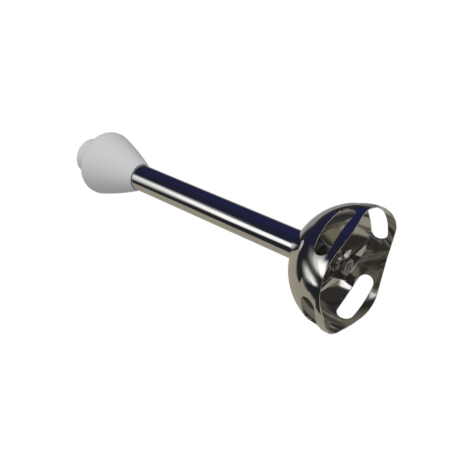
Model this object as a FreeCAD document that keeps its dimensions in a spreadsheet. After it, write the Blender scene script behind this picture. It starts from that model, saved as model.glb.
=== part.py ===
import FreeCAD, Part

import math
import os

import Sketcher

# Immersion blender shaft: a drawn stainless bell on a slim tube, a moulded white collar
# with the spigot that locks into the motor handle, and the drive shaft that runs through
# them with the blade at its foot. Millimetres. The part stands on the rim of the bell:
# the origin is the centre of the mouth and +Z points up the shaft to the coupling.

Vector = FreeCAD.Vector
Z_AXIS = Vector(0, 0, 1)
FULL_TURN = 360.0

# Driving dimensions: alias, value, meaning.
SIZES = [
    ("dome_radius", 33.8, "outside radius of the bell's dome"),
    ("dome_centre", 3.0, "height of the dome's centre above the rim"),
    ("bell_wall", 0.8, "sheet thickness of the bell"),
    ("neck_round", 3.0, "flare between the dome and the neck"),
    ("neck_length", 1.8825, "straight length of the neck above its flare"),
    ("notch_depth", 3.0, "how far the rim rises between two lobes"),
    ("notch_half_width", 20.0, "half width of each rise of the rim"),
    ("notch_blend", 20.0, "radius between the rise and the lobe's foot"),
    ("flute_radius", 16.0, "radius of the pressed flutes"),
    ("flute_depth", 1.5, "depth of the flutes at their deepest"),
    ("flute_tilt", 15.0, "elevation of a flute's deepest point, in degrees"),
    ("flute_round", 4.0, "rounding of a flute's edges"),
    ("window_half_width", 14.5, "half width of a window"),
    ("window_bottom", 4.9, "height of a window's lower edge"),
    ("window_top", 14.3, "height of a window's upper edge"),
    ("window_end_round", 4.4, "radius of a window's ends"),
    ("tube_radius", 8.0, "outside radius of the tube"),
    ("tube_wall", 0.6, "wall of the tube"),
    ("tube_reach", 118.65, "length of tube between the neck and the collar"),
    ("tube_insert", 14.0, "length of tube inside the collar"),
    ("collar_mouth", 9.13, "outside radius of the collar at the tube"),
    ("collar_radius", 20.2, "largest radius of the collar"),
    ("collar_cone", 29.7, "height of the collar's cone"),
    ("collar_height", 36.4, "height of the collar to its top face"),
    ("collar_crown", 200.0, "radius of the cone's swell"),
    ("collar_round", 5.0, "rounding of the collar's shoulder"),
    ("collar_wall", 1.8, "wall of the collar"),
    ("socket_wall", 2.2, "wall of the tube socket"),
    ("socket_flange", 2.4, "thickness of the socket's flange"),
    ("socket_rib", 1.6, "thickness of the socket's ribs"),
    ("rib_count", 6.0, "number of ribs round the socket"),
    ("spigot_radius", 11.7, "outside radius of the spigot"),
    ("spigot_wall", 2.6, "wall of the spigot"),
    ("spigot_height", 14.0, "height of the spigot above the collar"),
    ("spigot_edge", 1.8, "height of the chamfer on the spigot's end"),
    ("spigot_land", 0.8, "width of the flat ring on the spigot's end"),
    ("pilot_step", 0.3, "how far the spigot steps in above its lugs"),
    ("spigot_flange", 2.6, "thickness of the spigot's flange"),
    ("spigot_port", 6.4, "radius of the hole in the spigot's floor"),
    ("lug_count", 3.0, "number of bayonet lugs"),
    ("lug_reach", 1.3, "how far a lug stands out of the spigot"),
    ("lug_width", 7.0, "width of a lug"),
    ("lug_height", 3.0, "height of a lug"),
    ("lug_setback", 8.0, "distance from the spigot's end to the lugs"),
    ("shaft_radius", 2.5, "radius of the drive shaft"),
    ("shaft_foot", 7.0, "height of the shaft's lower end"),
    ("shaft_recess", 1.2, "radius of the centre hole in the shaft's end"),
    ("running_gap", 0.05, "radial clearance of the shaft in its bearings"),
    ("fit_gap", 0.03, "clearance between pieces that are pressed or clipped together"),
    ("end_gap", 0.3, "axial play beside what turns"),
    ("blade_height", 9.0, "height of the blade's middle plane"),
    ("blade_sheet", 1.2, "thickness of the blade"),
    ("blade_half_depth", 7.64, "half depth of the blade's middle"),
    ("blade_near_corner", 4.56, "corner of the blade's middle beside a short wing"),
    ("blade_far_corner", 10.9, "corner of the blade's middle beside a long wing"),
    ("blade_turn", -4.8, "turn of the blade at rest, in degrees"),
    ("wing_reach", 11.0, "reach of a long wing past its fold"),
    ("wing_sweep", 11.7, "sweep of a long wing's tip along its fold"),
    ("wing_fold", 8.8, "length of a long wing's fold"),
    ("wing_tip", 1.4, "width of a long wing's tip"),
    ("wing_lift", 8.0, "upward bend of a long wing, in degrees"),
    ("tab_reach", 4.4, "reach of a short wing past its bend"),
    ("tab_fold", 5.0, "length of a short wing's fold"),
    ("tab_drop", 48.0, "downward bend of a short wing, in degrees"),
    ("tab_bevel", 0.8, "ground bevel on a short wing's end"),
    ("bend_radius", 0.6, "inside radius of the blade's bends"),
    ("bend_root", 3.0, "flat length of a wing inside the blade's middle"),
    ("cap_radius", 4.4, "radius of the ring under the blade"),
    ("cap_height", 0.8, "height of the ring under the blade"),
    ("hub_radius", 4.2, "radius of the spacer above the blade"),
    ("hub_height", 3.6, "height of the spacer above the blade"),
    ("washer_thickness", 0.6, "thickness of the thrust washers"),
    ("washer_radius", 4.8, "outside radius of the thrust washers"),
    ("nose_radius", 6.2, "radius of the bearing housing's nose"),
    ("housing_root", 9.6, "radius of the housing where it meets the dome"),
    ("housing_seal_gap", 0.18, "clearance of the housing's O-ring under the dome's flare"),
    ("nose_length", 9.0, "straight length of the nose"),
    ("nose_sweep", 30.0, "radius of the hollow sweep above the nose"),
    ("housing_port", 3.6, "radius of the holes that the shaft passes through freely"),
    ("housing_sleeve", 16.0, "length of the housing inside the neck and tube"),
    ("bearing_radius", 5.0, "outside radius of the bearing bushes"),
    ("bearing_length", 12.0, "length of the lower bearing"),
    ("grease_room", 3.0, "space between the lip seal and the lower bearing"),
    ("upper_bearing_length", 8.0, "length of the upper bearing"),
    ("seal_height", 3.2, "height of the lip seal"),
    ("retainer_sheet", 0.5, "sheet thickness of the seal's retaining cap"),
    ("retainer_skirt", 3.0, "height of the retaining cap's skirt"),
    ("ring_section", 0.8, "section radius of the O-rings"),
    ("guide_height", 104.0, "height of the middle bearing"),
    ("guide_length", 14.0, "length of the middle bearing"),
    ("clip_thickness", 0.7, "thickness of the circlips"),
    ("clip_radius", 4.4, "outside radius of the circlips"),
    ("clip_gap", 2.2, "width of a circlip's mouth"),
    ("dog_radius", 4.0, "root radius of the drive coupling"),
    ("dog_tooth", 1.5, "how far the coupling's teeth stand out"),
    ("dog_tooth_width", 1.9, "width of the coupling's teeth"),
    ("dog_teeth", 6.0, "number of teeth on the coupling"),
    ("dog_height", 13.0, "height of the drive coupling"),
    ("dog_cap", 3.6, "solid height of the coupling above the shaft's end"),
    ("dog_edge", 1.2, "chamfer on the coupling's upper end"),
    ("pin_radius", 0.8, "radius of the coupling's cross pin"),
    ("pin_height", 3.2, "height of the pin above the coupling's foot"),
    ("end_break", 0.3, "broken edge on the ends of the shaft"),
]

doc = FreeCAD.newDocument("shaft")
sheet = doc.addObject("Spreadsheet::Sheet", "Dim")
for row, (alias, value, meaning) in enumerate(SIZES, start=1):
    sheet.set("A%d" % row, meaning)
    sheet.set("B%d" % row, str(value))
    sheet.setAlias("B%d" % row, alias)
doc.recompute()


class Size:
    """A number together with the expression that ties a property to the sheet."""

    def __init__(self, value, text=None):
        self.value = float(value)
        self.text = text if text is not None else repr(float(value))

    def join(self, other, sign, result):
        return Size(result, "(%s %s %s)" % (self.text, sign, other.text))

    def __add__(self, other):
        other = as_size(other)
        return self.join(other, "+", self.value + other.value)

    def __sub__(self, other):
        other = as_size(other)
        return self.join(other, "-", self.value - other.value)

    def __mul__(self, other):
        other = as_size(other)
        return self.join(other, "*", self.value * other.value)

    def __truediv__(self, other):
        other = as_size(other)
        return self.join(other, "/", self.value / other.value)

    def __neg__(self):
        return Size(-self.value, "(0 - %s)" % self.text)


def as_size(number):
    return number if isinstance(number, Size) else Size(number)


def root(size):
    return Size(math.sqrt(size.value), "sqrt(%s)" % size.text)


def larger(first, second):
    return Size(max(first.value, second.value), "max(%s; %s)" % (first.text, second.text))


def cosine(angle):
    angle = as_size(angle)
    return Size(math.cos(math.radians(angle.value)), "cos(%s * 1 deg)" % angle.text)


def sine(angle):
    angle = as_size(angle)
    return Size(math.sin(math.radians(angle.value)), "sin(%s * 1 deg)" % angle.text)


D = type("Dimensions", (), {alias: Size(value, "Dim." + alias) for alias, value, _ in SIZES})


def bind(thing, **sizes):
    """Set properties of a document object and tie each one to the sheet."""
    for name, size in sizes.items():
        size = as_size(size)
        setattr(thing, name, size.value)
        thing.setExpression(name, size.text)
    return thing


def place(thing, x=0, y=0, height=0, turn=None):
    """Place an object; its three offsets stay tied to the sheet."""
    offsets = [as_size(offset) for offset in (x, y, height)]
    base = Vector(*[offset.value for offset in offsets])
    thing.Placement = FreeCAD.Placement(base, turn or FreeCAD.Rotation())
    for axis, offset in zip("xyz", offsets):
        thing.setExpression(".Placement.Base." + axis, offset.text)
    return thing


def cylinder(name, radius, height, x=0, y=0, bottom=0, turn=None):
    thing = bind(doc.addObject("Part::Cylinder", name), Radius=radius, Height=height)
    return place(thing, x, y, bottom, turn)


def box(name, length, width, height, x=0, y=0, bottom=0, turn=None):
    thing = doc.addObject("Part::Box", name)
    bind(thing, Length=length, Width=width, Height=height)
    return place(thing, x, y, bottom, turn)


def fuse(name, pieces):
    thing = doc.addObject("Part::MultiFuse", name)
    thing.Shapes = pieces
    thing.Refine = True
    return thing


def cut(name, base, tool, merge=True):
    """Cut tool out of base; merge joins faces that lie on one surface afterwards."""
    thing = doc.addObject("Part::Cut", name)
    thing.Base = base
    thing.Tool = tool
    thing.Refine = merge
    return thing


def rounded(name, base, radius, wanted):
    """Fillet the edges of base that the test picks."""
    doc.recompute()
    thing = doc.addObject("Part::Fillet", name)
    thing.Base = base
    size = radius.value
    thing.Edges = [(number, size, size)
                   for number, edge in enumerate(base.Shape.Edges, start=1) if wanted(edge)]
    return thing


def origin_plane(body, role):
    return [item for item in body.Origin.OriginFeatures if item.Role == role][0]


def new_sketch(body, role, name):
    sketch = body.newObject("Sketcher::SketchObject", name)
    sketch.AttachmentSupport = [(origin_plane(body, role), "")]
    sketch.MapMode = "FlatFace"
    return sketch


def arc_between(start, end, radius, side):
    """A sketch arc from start to end; side is 1 where its centre lies to the left."""
    chord = end - start
    middle = (start + end) * 0.5
    normal = Vector(-chord.y, chord.x, 0).normalize()
    rise = math.sqrt(max(radius ** 2 - (chord.Length / 2) ** 2, 0))
    centre = middle + normal * rise * side
    first, last = (start, end) if side > 0 else (end, start)
    begin = math.atan2(first.y - centre.y, first.x - centre.x)
    finish = math.atan2(last.y - centre.y, last.x - centre.x)
    if finish < begin:
        finish += 2 * math.pi
    return Part.ArcOfCircle(Part.Circle(centre, Z_AXIS, radius), begin, finish)


def draw(sketch, corners):
    """Draw a closed outline. A corner is (x, y), or (x, y, radius, side) where an arc,
    not a straight line, leads on to the next corner."""
    corners = [[as_size(number) for number in corner] for corner in corners]
    points = [Vector(corner[0].value, corner[1].value, 0) for corner in corners]
    ends = []
    for index, corner in enumerate(corners):
        start, end = points[index], points[(index + 1) % len(points)]
        if len(corner) == 2:
            sketch.addGeometry(Part.LineSegment(start, end), False)
            ends.append((1, 2))
        else:
            side = corner[3].value
            sketch.addGeometry(arc_between(start, end, corner[2].value, side), False)
            ends.append((1, 2) if side > 0 else (2, 1))
    for index, corner in enumerate(corners):
        following = (index + 1) % len(corners)
        sketch.addConstraint(Sketcher.Constraint(
            "Coincident", index, ends[index][1], following, ends[following][0]))
    for index, corner in enumerate(corners):
        start = ends[index][0]
        for kind, size in (("DistanceX", corner[0]), ("DistanceY", corner[1])):
            number = sketch.addConstraint(Sketcher.Constraint(kind, -1, 1, index, start, size.value))
            if size.text != repr(size.value):
                sketch.setExpression("Constraints[%d]" % number, size.text)
        if len(corner) > 2:
            number = sketch.addConstraint(Sketcher.Constraint("Radius", index, corner[2].value))
            sketch.setExpression("Constraints[%d]" % number, corner[2].text)
    return sketch


def turned(name, corners):
    """A turned or moulded round piece: its section is revolved about the shaft's axis."""
    body = doc.addObject("PartDesign::Body", name)
    sketch = draw(new_sketch(body, "XZ_Plane", name + "_section"), corners)
    feature = body.newObject("PartDesign::Revolution", name + "_turned")
    feature.Profile = sketch
    feature.ReferenceAxis = (sketch, ["V_Axis"])
    feature.Angle = FULL_TURN
    sketch.Visibility = False
    body.Tip = feature
    return body


def ring(name, inner, outer, bottom, height):
    """A plain bush, washer or sleeve."""
    top = bottom + height
    return turned(name, [(inner, bottom), (outer, bottom), (outer, top), (inner, top)])


def padded(body, name, sketch, length, middle=False):
    feature = body.newObject("PartDesign::Pad", name)
    feature.Profile = sketch
    bind(feature, Length=length)
    feature.Midplane = middle
    body.Tip = feature
    return feature


def polar(body, feature, count, name):
    """Repeat a feature of a body round the shaft's axis."""
    pattern = body.newObject("PartDesign::PolarPattern", name)
    pattern.Originals = [feature]
    pattern.Axis = (origin_plane(body, "Z_Axis"), [""])
    pattern.Angle = FULL_TURN
    pattern.Occurrences = int(round(count.value))
    pattern.setExpression("Occurrences", count.text)
    body.Tip = pattern
    return pattern


# Heights that follow from the driving dimensions.
FLARE_RADIUS = D.tube_radius + D.neck_round
DOME_TO_FLARE = D.dome_radius + D.neck_round
FLARE_HEIGHT = D.dome_centre + root(DOME_TO_FLARE * DOME_TO_FLARE - FLARE_RADIUS * FLARE_RADIUS)
NECK_TOP = FLARE_HEIGHT + D.neck_length
COLLAR_BASE = NECK_TOP + D.tube_reach
TUBE_TOP = COLLAR_BASE + D.tube_insert
COLLAR_WIDEST = COLLAR_BASE + D.collar_cone
COLLAR_TOP = COLLAR_BASE + D.collar_height
SPIGOT_TOP = COLLAR_TOP + D.spigot_height
TUBE_BORE = D.tube_radius - D.tube_wall
SHAFT_BORE = D.shaft_radius + D.running_gap
BLADE_TOP = D.blade_height + D.blade_sheet / 2
BLADE_BOTTOM = D.blade_height - D.blade_sheet / 2
HUB_TOP = BLADE_TOP + D.fit_gap + D.hub_height
NOSE_BOTTOM = HUB_TOP + D.end_gap * 2 + D.washer_thickness
BEARING_SEAT = D.bearing_radius + D.fit_gap
SHAFT_SEAT = D.shaft_radius + D.fit_gap


# The bell. An outer form and an inner form carry the same flutes a wall apart, and the
# sheet is what lies between them. The windows and the wavy rim are cut through both.

FLUTE_TURNS = (45.0, 135.0, 225.0, 315.0)
FORM_SKIRT = D.notch_depth
FLUTE_LENGTH = D.dome_radius * 2


def dome_section(radius, neck, flare):
    """Corners of a solid dome with a flared neck, open at the skirt below the rim."""
    meet_radius = neck + flare
    meet_rise = root((radius + flare) * (radius + flare) - meet_radius * meet_radius)
    share = radius / (radius + flare)
    skirt_drop = D.dome_centre + FORM_SKIRT
    skirt = root(radius * radius - skirt_drop * skirt_drop)
    return [
        (0, -FORM_SKIRT),
        (skirt, -FORM_SKIRT, radius, 1),
        (meet_radius * share, D.dome_centre + meet_rise * share, flare, -1),
        (neck, D.dome_centre + meet_rise),
        (neck, NECK_TOP),
        (0, NECK_TOP),
    ]


def flute_cutters(name, growth):
    """Four leaning cylinders that press the flutes into the dome."""
    reach = D.dome_radius + D.flute_radius - D.flute_depth
    cutters = []
    for index, turn in enumerate(FLUTE_TURNS):
        out = reach * cosine(D.flute_tilt) + FLUTE_LENGTH / 2 * sine(D.flute_tilt)
        height = (D.dome_centre + reach * sine(D.flute_tilt)
                  - FLUTE_LENGTH / 2 * cosine(D.flute_tilt))
        lean = FreeCAD.Rotation(Z_AXIS, turn) * FreeCAD.Rotation(
            Vector(0, 1, 0), -D.flute_tilt.value)
        cutters.append(cylinder("%s_%d" % (name, index), D.flute_radius + growth, FLUTE_LENGTH,
                                out * cosine(turn), out * sine(turn), height, lean))
    return fuse(name, cutters)


def is_flute_edge(edge):
    """A flute meets the dome in a long curve round its own middle, out on a diagonal."""
    middle = edge.BoundBox.Center
    out = min(abs(middle.x), abs(middle.y))
    return out > D.dome_radius.value / 4 and edge.BoundBox.ZLength > D.flute_depth.value


def bell_form(name, growth):
    """One of the bell's two forms; growth is how far inside the outer one it lies."""
    form = turned(name + "_dome", dome_section(
        D.dome_radius - growth, D.tube_radius - growth, D.neck_round + growth))
    fluted = cut(name + "_fluted", form, flute_cutters(name + "_flutes", growth))
    return rounded(name, fluted, D.flute_round - growth, is_flute_edge)


def rim_cutter(name, turn):
    """Raises the rim between the lobes on both sides of the bell, in one direction."""
    span = D.dome_radius * 3
    radius = ((D.notch_half_width * D.notch_half_width + D.notch_depth * D.notch_depth)
              / (D.notch_depth * 2))
    wave = FreeCAD.Rotation(Z_AXIS, turn)
    lying = wave * FreeCAD.Rotation(Vector(0, 1, 0), 90)
    rise = cylinder(name + "_rise", radius, span,
                    -(span / 2) * cosine(turn), -(span / 2) * sine(turn),
                    D.notch_depth - radius, lying)
    ground = box(name + "_ground", span, span, radius * 2,
                 -(span / 2) * cosine(turn) + span / 2 * sine(turn),
                 -(span / 2) * sine(turn) - span / 2 * cosine(turn),
                 -(radius * 2), wave)
    both = fuse(name + "_both", [rise, ground])
    half_width = D.notch_half_width.value

    def is_shoulder(edge):
        middle = edge.BoundBox.Center
        across = abs(middle.x * math.sin(math.radians(turn))
                     - middle.y * math.cos(math.radians(turn)))
        return abs(middle.z) < 0.01 and abs(across - half_width) < 0.01

    return rounded(name, both, D.notch_blend, is_shoulder)


def window_cutter(name, role):
    """A window's outline, cut right through the bell so that it makes an opposite pair."""
    end = D.window_end_round
    waist = D.window_half_width - end
    low = D.window_bottom + end
    rise = D.window_top - low
    crown = (waist * waist + rise * rise - end * end) / ((rise - end) * 2)
    share = end / (crown - end)
    top_drop = crown - rise
    corner = (waist + waist * share, low + top_drop * share)
    body = doc.addObject("PartDesign::Body", name)
    sketch = draw(new_sketch(body, role, name + "_outline"), [
        (-waist, D.window_bottom),
        (waist, D.window_bottom, end, 1),
        (corner[0], corner[1], crown, 1),
        (-corner[0], corner[1], end, 1),
    ])
    padded(body, name + "_reach", sketch, D.dome_radius * 3, middle=True)
    return body


bell_sheet = cut("bell_sheet", bell_form("outer_form", Size(0)),
                 bell_form("inner_form", D.bell_wall))
windows = fuse("windows", [
    window_cutter("side_windows", "YZ_Plane"),
    window_cutter("front_windows", "XZ_Plane"),
])
windowed_sheet = cut("windowed_sheet", bell_sheet, windows)
waved_sheet = cut("waved_sheet", windowed_sheet, rim_cutter("rim_wave", 45.0), merge=False)
bell_guard = cut("bell_guard", waved_sheet, rim_cutter("rim_cross_wave", 135.0), merge=False)


# The tube, welded flush to the bell's neck.
shaft_tube = ring("shaft_tube", TUBE_BORE, D.tube_radius,
                  NECK_TOP, D.tube_reach + D.tube_insert)


# The collar: a swelling cone, its shoulder rounded over into a flat top.
SOCKET_RADIUS = D.tube_radius + D.fit_gap + D.socket_wall
CONE_SLOPE = (D.collar_radius - D.collar_mouth) / D.collar_cone
FLANGE_TOP = COLLAR_TOP - D.collar_wall
SPIGOT_HOLE = D.spigot_radius + D.fit_gap
SHOULDER = COLLAR_TOP - D.collar_round


def cone_inside(height):
    """Inner radius of the collar at a height on its cone."""
    return D.collar_mouth + CONE_SLOPE * (height - COLLAR_BASE) - D.collar_wall


collar_shell = turned("collar_shell", [
    (D.tube_radius + D.fit_gap, COLLAR_BASE),
    (D.collar_mouth, COLLAR_BASE, D.collar_crown, 1),
    (D.collar_radius, COLLAR_WIDEST),
    (D.collar_radius, SHOULDER, D.collar_round, 1),
    (D.collar_radius - D.collar_round, COLLAR_TOP),
    (SPIGOT_HOLE, COLLAR_TOP),
    (SPIGOT_HOLE, FLANGE_TOP),
    (D.collar_radius - D.collar_round, FLANGE_TOP, D.collar_round - D.collar_wall, -1),
    (D.collar_radius - D.collar_wall, SHOULDER),
    (D.collar_radius - D.collar_wall, COLLAR_WIDEST, D.collar_crown - D.collar_wall, -1),
    (D.tube_radius + D.fit_gap, COLLAR_BASE
     + (D.tube_radius + D.fit_gap + D.collar_wall - D.collar_mouth) / CONE_SLOPE),
])


# The ribbed core that holds the tube, and the ring that seals the tube in the collar.
SLANT = root(CONE_SLOPE * CONE_SLOPE + 1)
SEAL_MIDDLE = D.tube_radius + D.ring_section + D.fit_gap
SEAL_HEIGHT = COLLAR_BASE + (
    SEAL_MIDDLE + (D.ring_section + D.fit_gap) * SLANT + D.collar_wall - D.collar_mouth
) / CONE_SLOPE
RIB_GAP = D.fit_gap * 5
SOCKET_BOTTOM = larger(
    SEAL_HEIGHT + D.ring_section + D.fit_gap,
    COLLAR_BASE + (SOCKET_RADIUS + RIB_GAP + D.collar_wall - D.collar_mouth) / CONE_SLOPE)
SPIGOT_FLANGE_TOP = FLANGE_TOP - D.fit_gap
SPIGOT_FLANGE_BOTTOM = SPIGOT_FLANGE_TOP - D.spigot_flange
SOCKET_FLANGE_TOP = SPIGOT_FLANGE_BOTTOM - D.fit_gap
SOCKET_FLANGE_BOTTOM = SOCKET_FLANGE_TOP - D.socket_flange
CORE_RADIUS = BEARING_SEAT + D.socket_wall
CORE_STEP = TUBE_TOP + D.socket_wall
UPPER_SEAT = SOCKET_FLANGE_BOTTOM - D.upper_bearing_length


def o_ring(name, middle, height):
    """A rubber ring of the common section, turned about the shaft's axis."""
    thing = bind(doc.addObject("Part::Torus", name), Radius1=middle, Radius2=D.ring_section)
    return place(thing, height=height)


collar_seal = o_ring("collar_seal", SEAL_MIDDLE, SEAL_HEIGHT)

tube_socket = turned("tube_socket", [
    (D.tube_radius + D.fit_gap, SOCKET_BOTTOM),
    (SOCKET_RADIUS, SOCKET_BOTTOM),
    (SOCKET_RADIUS, CORE_STEP),
    (CORE_RADIUS, CORE_STEP),
    (CORE_RADIUS, SOCKET_FLANGE_BOTTOM),
    (cone_inside(SOCKET_FLANGE_BOTTOM) - RIB_GAP, SOCKET_FLANGE_BOTTOM),
    (cone_inside(SOCKET_FLANGE_BOTTOM) - RIB_GAP, SOCKET_FLANGE_TOP),
    (BEARING_SEAT, SOCKET_FLANGE_TOP),
    (BEARING_SEAT, UPPER_SEAT),
    (D.housing_port, UPPER_SEAT),
    (D.housing_port, TUBE_TOP + D.fit_gap),
    (D.tube_radius + D.fit_gap, TUBE_TOP + D.fit_gap),
])
rib_sketch = draw(new_sketch(tube_socket, "XZ_Plane", "rib_outline"), [
    (CORE_RADIUS - D.socket_wall / 2, CORE_STEP - D.socket_wall / 2),
    (cone_inside(CORE_STEP - D.socket_wall / 2) - RIB_GAP, CORE_STEP - D.socket_wall / 2),
    (cone_inside(SOCKET_FLANGE_BOTTOM) - RIB_GAP, SOCKET_FLANGE_BOTTOM),
    (cone_inside(SOCKET_FLANGE_BOTTOM) - RIB_GAP, SOCKET_FLANGE_BOTTOM + D.socket_flange / 2),
    (CORE_RADIUS - D.socket_wall / 2, SOCKET_FLANGE_BOTTOM + D.socket_flange / 2),
])
rib = padded(tube_socket, "rib", rib_sketch, D.socket_rib, middle=True)
polar(tube_socket, rib, D.rib_count, "ribs")


# The spigot that plugs into the handle, with its bayonet lugs.
SPIGOT_BORE = D.spigot_radius - D.spigot_wall
PILOT_RADIUS = D.spigot_radius - D.pilot_step
LUG_TOP = SPIGOT_TOP - D.lug_setback
spigot_body = turned("spigot_body", [
    (D.spigot_port, SPIGOT_FLANGE_BOTTOM),
    (D.collar_radius - D.collar_round - D.fit_gap, SPIGOT_FLANGE_BOTTOM),
    (D.collar_radius - D.collar_round - D.fit_gap, SPIGOT_FLANGE_TOP),
    (D.spigot_radius, SPIGOT_FLANGE_TOP),
    (D.spigot_radius, LUG_TOP),
    (PILOT_RADIUS, LUG_TOP),
    (PILOT_RADIUS, SPIGOT_TOP - D.spigot_edge),
    (SPIGOT_BORE + D.spigot_land, SPIGOT_TOP),
    (SPIGOT_BORE, SPIGOT_TOP),
    (SPIGOT_BORE, SPIGOT_FLANGE_TOP),
    (D.spigot_port, SPIGOT_FLANGE_TOP),
])
lugs = []
for index in range(int(D.lug_count.value)):
    turn = FULL_TURN * index / D.lug_count.value
    root_radius = D.spigot_radius - D.spigot_wall / 2
    lugs.append(box(
        "lug_%d" % index, D.spigot_wall / 2 + D.lug_reach, D.lug_width, D.lug_height,
        root_radius * cosine(turn) + D.lug_width / 2 * sine(turn),
        root_radius * sine(turn) - D.lug_width / 2 * cosine(turn),
        LUG_TOP - D.lug_height, FreeCAD.Rotation(Z_AXIS, turn)))
coupling_spigot = fuse("coupling_spigot", [spigot_body] + lugs)


# Upper bearing, its retaining washer and the dust seal, all in the core's seat.
CLIP_HEIGHT = SOCKET_FLANGE_BOTTOM + D.fit_gap
DUST_HEIGHT = CLIP_HEIGHT + D.clip_thickness + D.fit_gap
upper_bearing = ring("upper_bearing", SHAFT_BORE, D.bearing_radius,
                     UPPER_SEAT + D.fit_gap, D.upper_bearing_length - D.fit_gap)
bearing_retainer = ring("bearing_retainer", D.housing_port, D.bearing_radius,
                        CLIP_HEIGHT, D.clip_thickness)
dust_seal = ring("dust_seal", SHAFT_BORE, D.bearing_radius,
                 DUST_HEIGHT, SOCKET_FLANGE_TOP - DUST_HEIGHT - D.fit_gap)
upper_thrust_washer = ring("upper_thrust_washer", SHAFT_BORE, D.washer_radius + D.socket_wall / 2,
                           SOCKET_FLANGE_TOP + D.fit_gap, D.washer_thickness)


# Half way up, a plastic bush steadies the shaft in the tube.
middle_bearing = ring("middle_bearing", SHAFT_BORE, TUBE_BORE - D.fit_gap,
                      D.guide_height, D.guide_length)


# The lower bearing's housing: a sleeve in the neck, a shoulder that holds its O-ring under
# the dome's flare, and the nose that reaches down to the blade with the seal in its end.
NECK_BORE = D.tube_radius - D.bell_wall
INNER_FLARE = D.neck_round + D.bell_wall
RING_RADIUS = NECK_BORE + D.ring_section + D.fit_gap * 3
RING_TO_FLARE = INNER_FLARE + D.ring_section + D.housing_seal_gap
RING_OFFSET = FLARE_RADIUS - RING_RADIUS
RING_HEIGHT = FLARE_HEIGHT - root(RING_TO_FLARE * RING_TO_FLARE - RING_OFFSET * RING_OFFSET)
HOUSING_SHOULDER = RING_HEIGHT - D.ring_section - D.fit_gap
HOUSING_TOP = HOUSING_SHOULDER + D.housing_sleeve
HOUSING_END = NOSE_BOTTOM + D.retainer_sheet + D.fit_gap
SEAL_BOTTOM = HOUSING_END + D.fit_gap
BEARING_BOTTOM = SEAL_BOTTOM + D.seal_height + D.grease_room
BEARING_STOP = BEARING_BOTTOM + D.bearing_length + D.fit_gap
lower_bearing_housing = turned("lower_bearing_housing", [
    (BEARING_SEAT, HOUSING_END),
    (D.nose_radius, HOUSING_END),
    (D.nose_radius, HOUSING_END + D.nose_length, D.nose_sweep, 1),
    (D.housing_root, HOUSING_SHOULDER - D.retainer_skirt / 2),
    (D.housing_root, HOUSING_SHOULDER),
    (NECK_BORE - D.fit_gap, HOUSING_SHOULDER),
    (NECK_BORE - D.fit_gap, HOUSING_TOP),
    (D.housing_port, HOUSING_TOP),
    (D.housing_port, BEARING_STOP),
    (BEARING_SEAT, BEARING_STOP),
])
lower_bearing = ring("lower_bearing", SHAFT_BORE, D.bearing_radius,
                     BEARING_BOTTOM, D.bearing_length)
housing_o_ring = o_ring("housing_o_ring", RING_RADIUS, RING_HEIGHT)
lip_seal = turned("lip_seal", [
    (SHAFT_BORE, SEAL_BOTTOM),
    (D.bearing_radius, SEAL_BOTTOM),
    (D.bearing_radius, SEAL_BOTTOM + D.seal_height),
    (D.bearing_radius - D.retainer_sheet * 2, SEAL_BOTTOM + D.seal_height),
    (D.housing_port, SEAL_BOTTOM + D.seal_height / 2),
    (SHAFT_BORE, SEAL_BOTTOM + D.seal_height / 2),
])
seal_retainer = turned("seal_retainer", [
    (D.housing_port, NOSE_BOTTOM),
    (D.nose_radius + D.retainer_sheet, NOSE_BOTTOM),
    (D.nose_radius + D.retainer_sheet + D.fit_gap, NOSE_BOTTOM + D.retainer_skirt),
    (D.nose_radius + D.fit_gap, NOSE_BOTTOM + D.retainer_skirt),
    (D.nose_radius + D.fit_gap, NOSE_BOTTOM + D.retainer_sheet),
    (D.housing_port, NOSE_BOTTOM + D.retainer_sheet),
])
lower_thrust_washer = ring("lower_thrust_washer", SHAFT_BORE, D.washer_radius,
                           HUB_TOP + D.end_gap, D.washer_thickness)


# The drive coupling: a splined dog pinned to the top of the shaft.
UPPER_CLIP = SOCKET_FLANGE_TOP + D.fit_gap + D.washer_thickness + D.end_gap
DOG_BOTTOM = UPPER_CLIP + D.clip_thickness + D.fit_gap
SHAFT_TOP = DOG_BOTTOM + D.dog_height - D.dog_cap
PIN_MIDDLE = DOG_BOTTOM + D.pin_height
ALONG_X = FreeCAD.Rotation(Vector(0, 1, 0), 90)


def cross_cylinder(name, radius, length):
    return cylinder(name, radius, length, -(length / 2), 0, PIN_MIDDLE, ALONG_X)


dog_body = turned("dog_body", [
    (SHAFT_SEAT, DOG_BOTTOM),
    (D.dog_radius, DOG_BOTTOM),
    (D.dog_radius, DOG_BOTTOM + D.dog_height - D.dog_edge),
    (D.dog_radius - D.dog_edge, DOG_BOTTOM + D.dog_height),
    (0, DOG_BOTTOM + D.dog_height),
    (0, SHAFT_TOP + D.fit_gap),
    (SHAFT_SEAT, SHAFT_TOP + D.fit_gap),
])
tooth_sketch = draw(new_sketch(dog_body, "XZ_Plane", "tooth_outline"), [
    (D.dog_radius - D.dog_edge / 2, DOG_BOTTOM),
    (D.dog_radius + D.dog_tooth, DOG_BOTTOM),
    (D.dog_radius + D.dog_tooth, DOG_BOTTOM + D.dog_height - D.dog_edge * 2),
    (D.dog_radius - D.dog_edge / 2, DOG_BOTTOM + D.dog_height - D.dog_edge),
])
tooth = padded(dog_body, "tooth", tooth_sketch, D.dog_tooth_width, middle=True)
polar(dog_body, tooth, D.dog_teeth, "teeth")
place(dog_body, turn=FreeCAD.Rotation(Z_AXIS, FULL_TURN / 2 / D.dog_teeth.value))
drive_coupling = cut("drive_coupling", dog_body, cross_cylinder(
    "dog_pin_hole", D.pin_radius + D.fit_gap, (D.dog_radius + D.dog_tooth) * 2))
coupling_pin = cross_cylinder("coupling_pin", D.pin_radius, (D.dog_radius - D.end_break) * 2)


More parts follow.
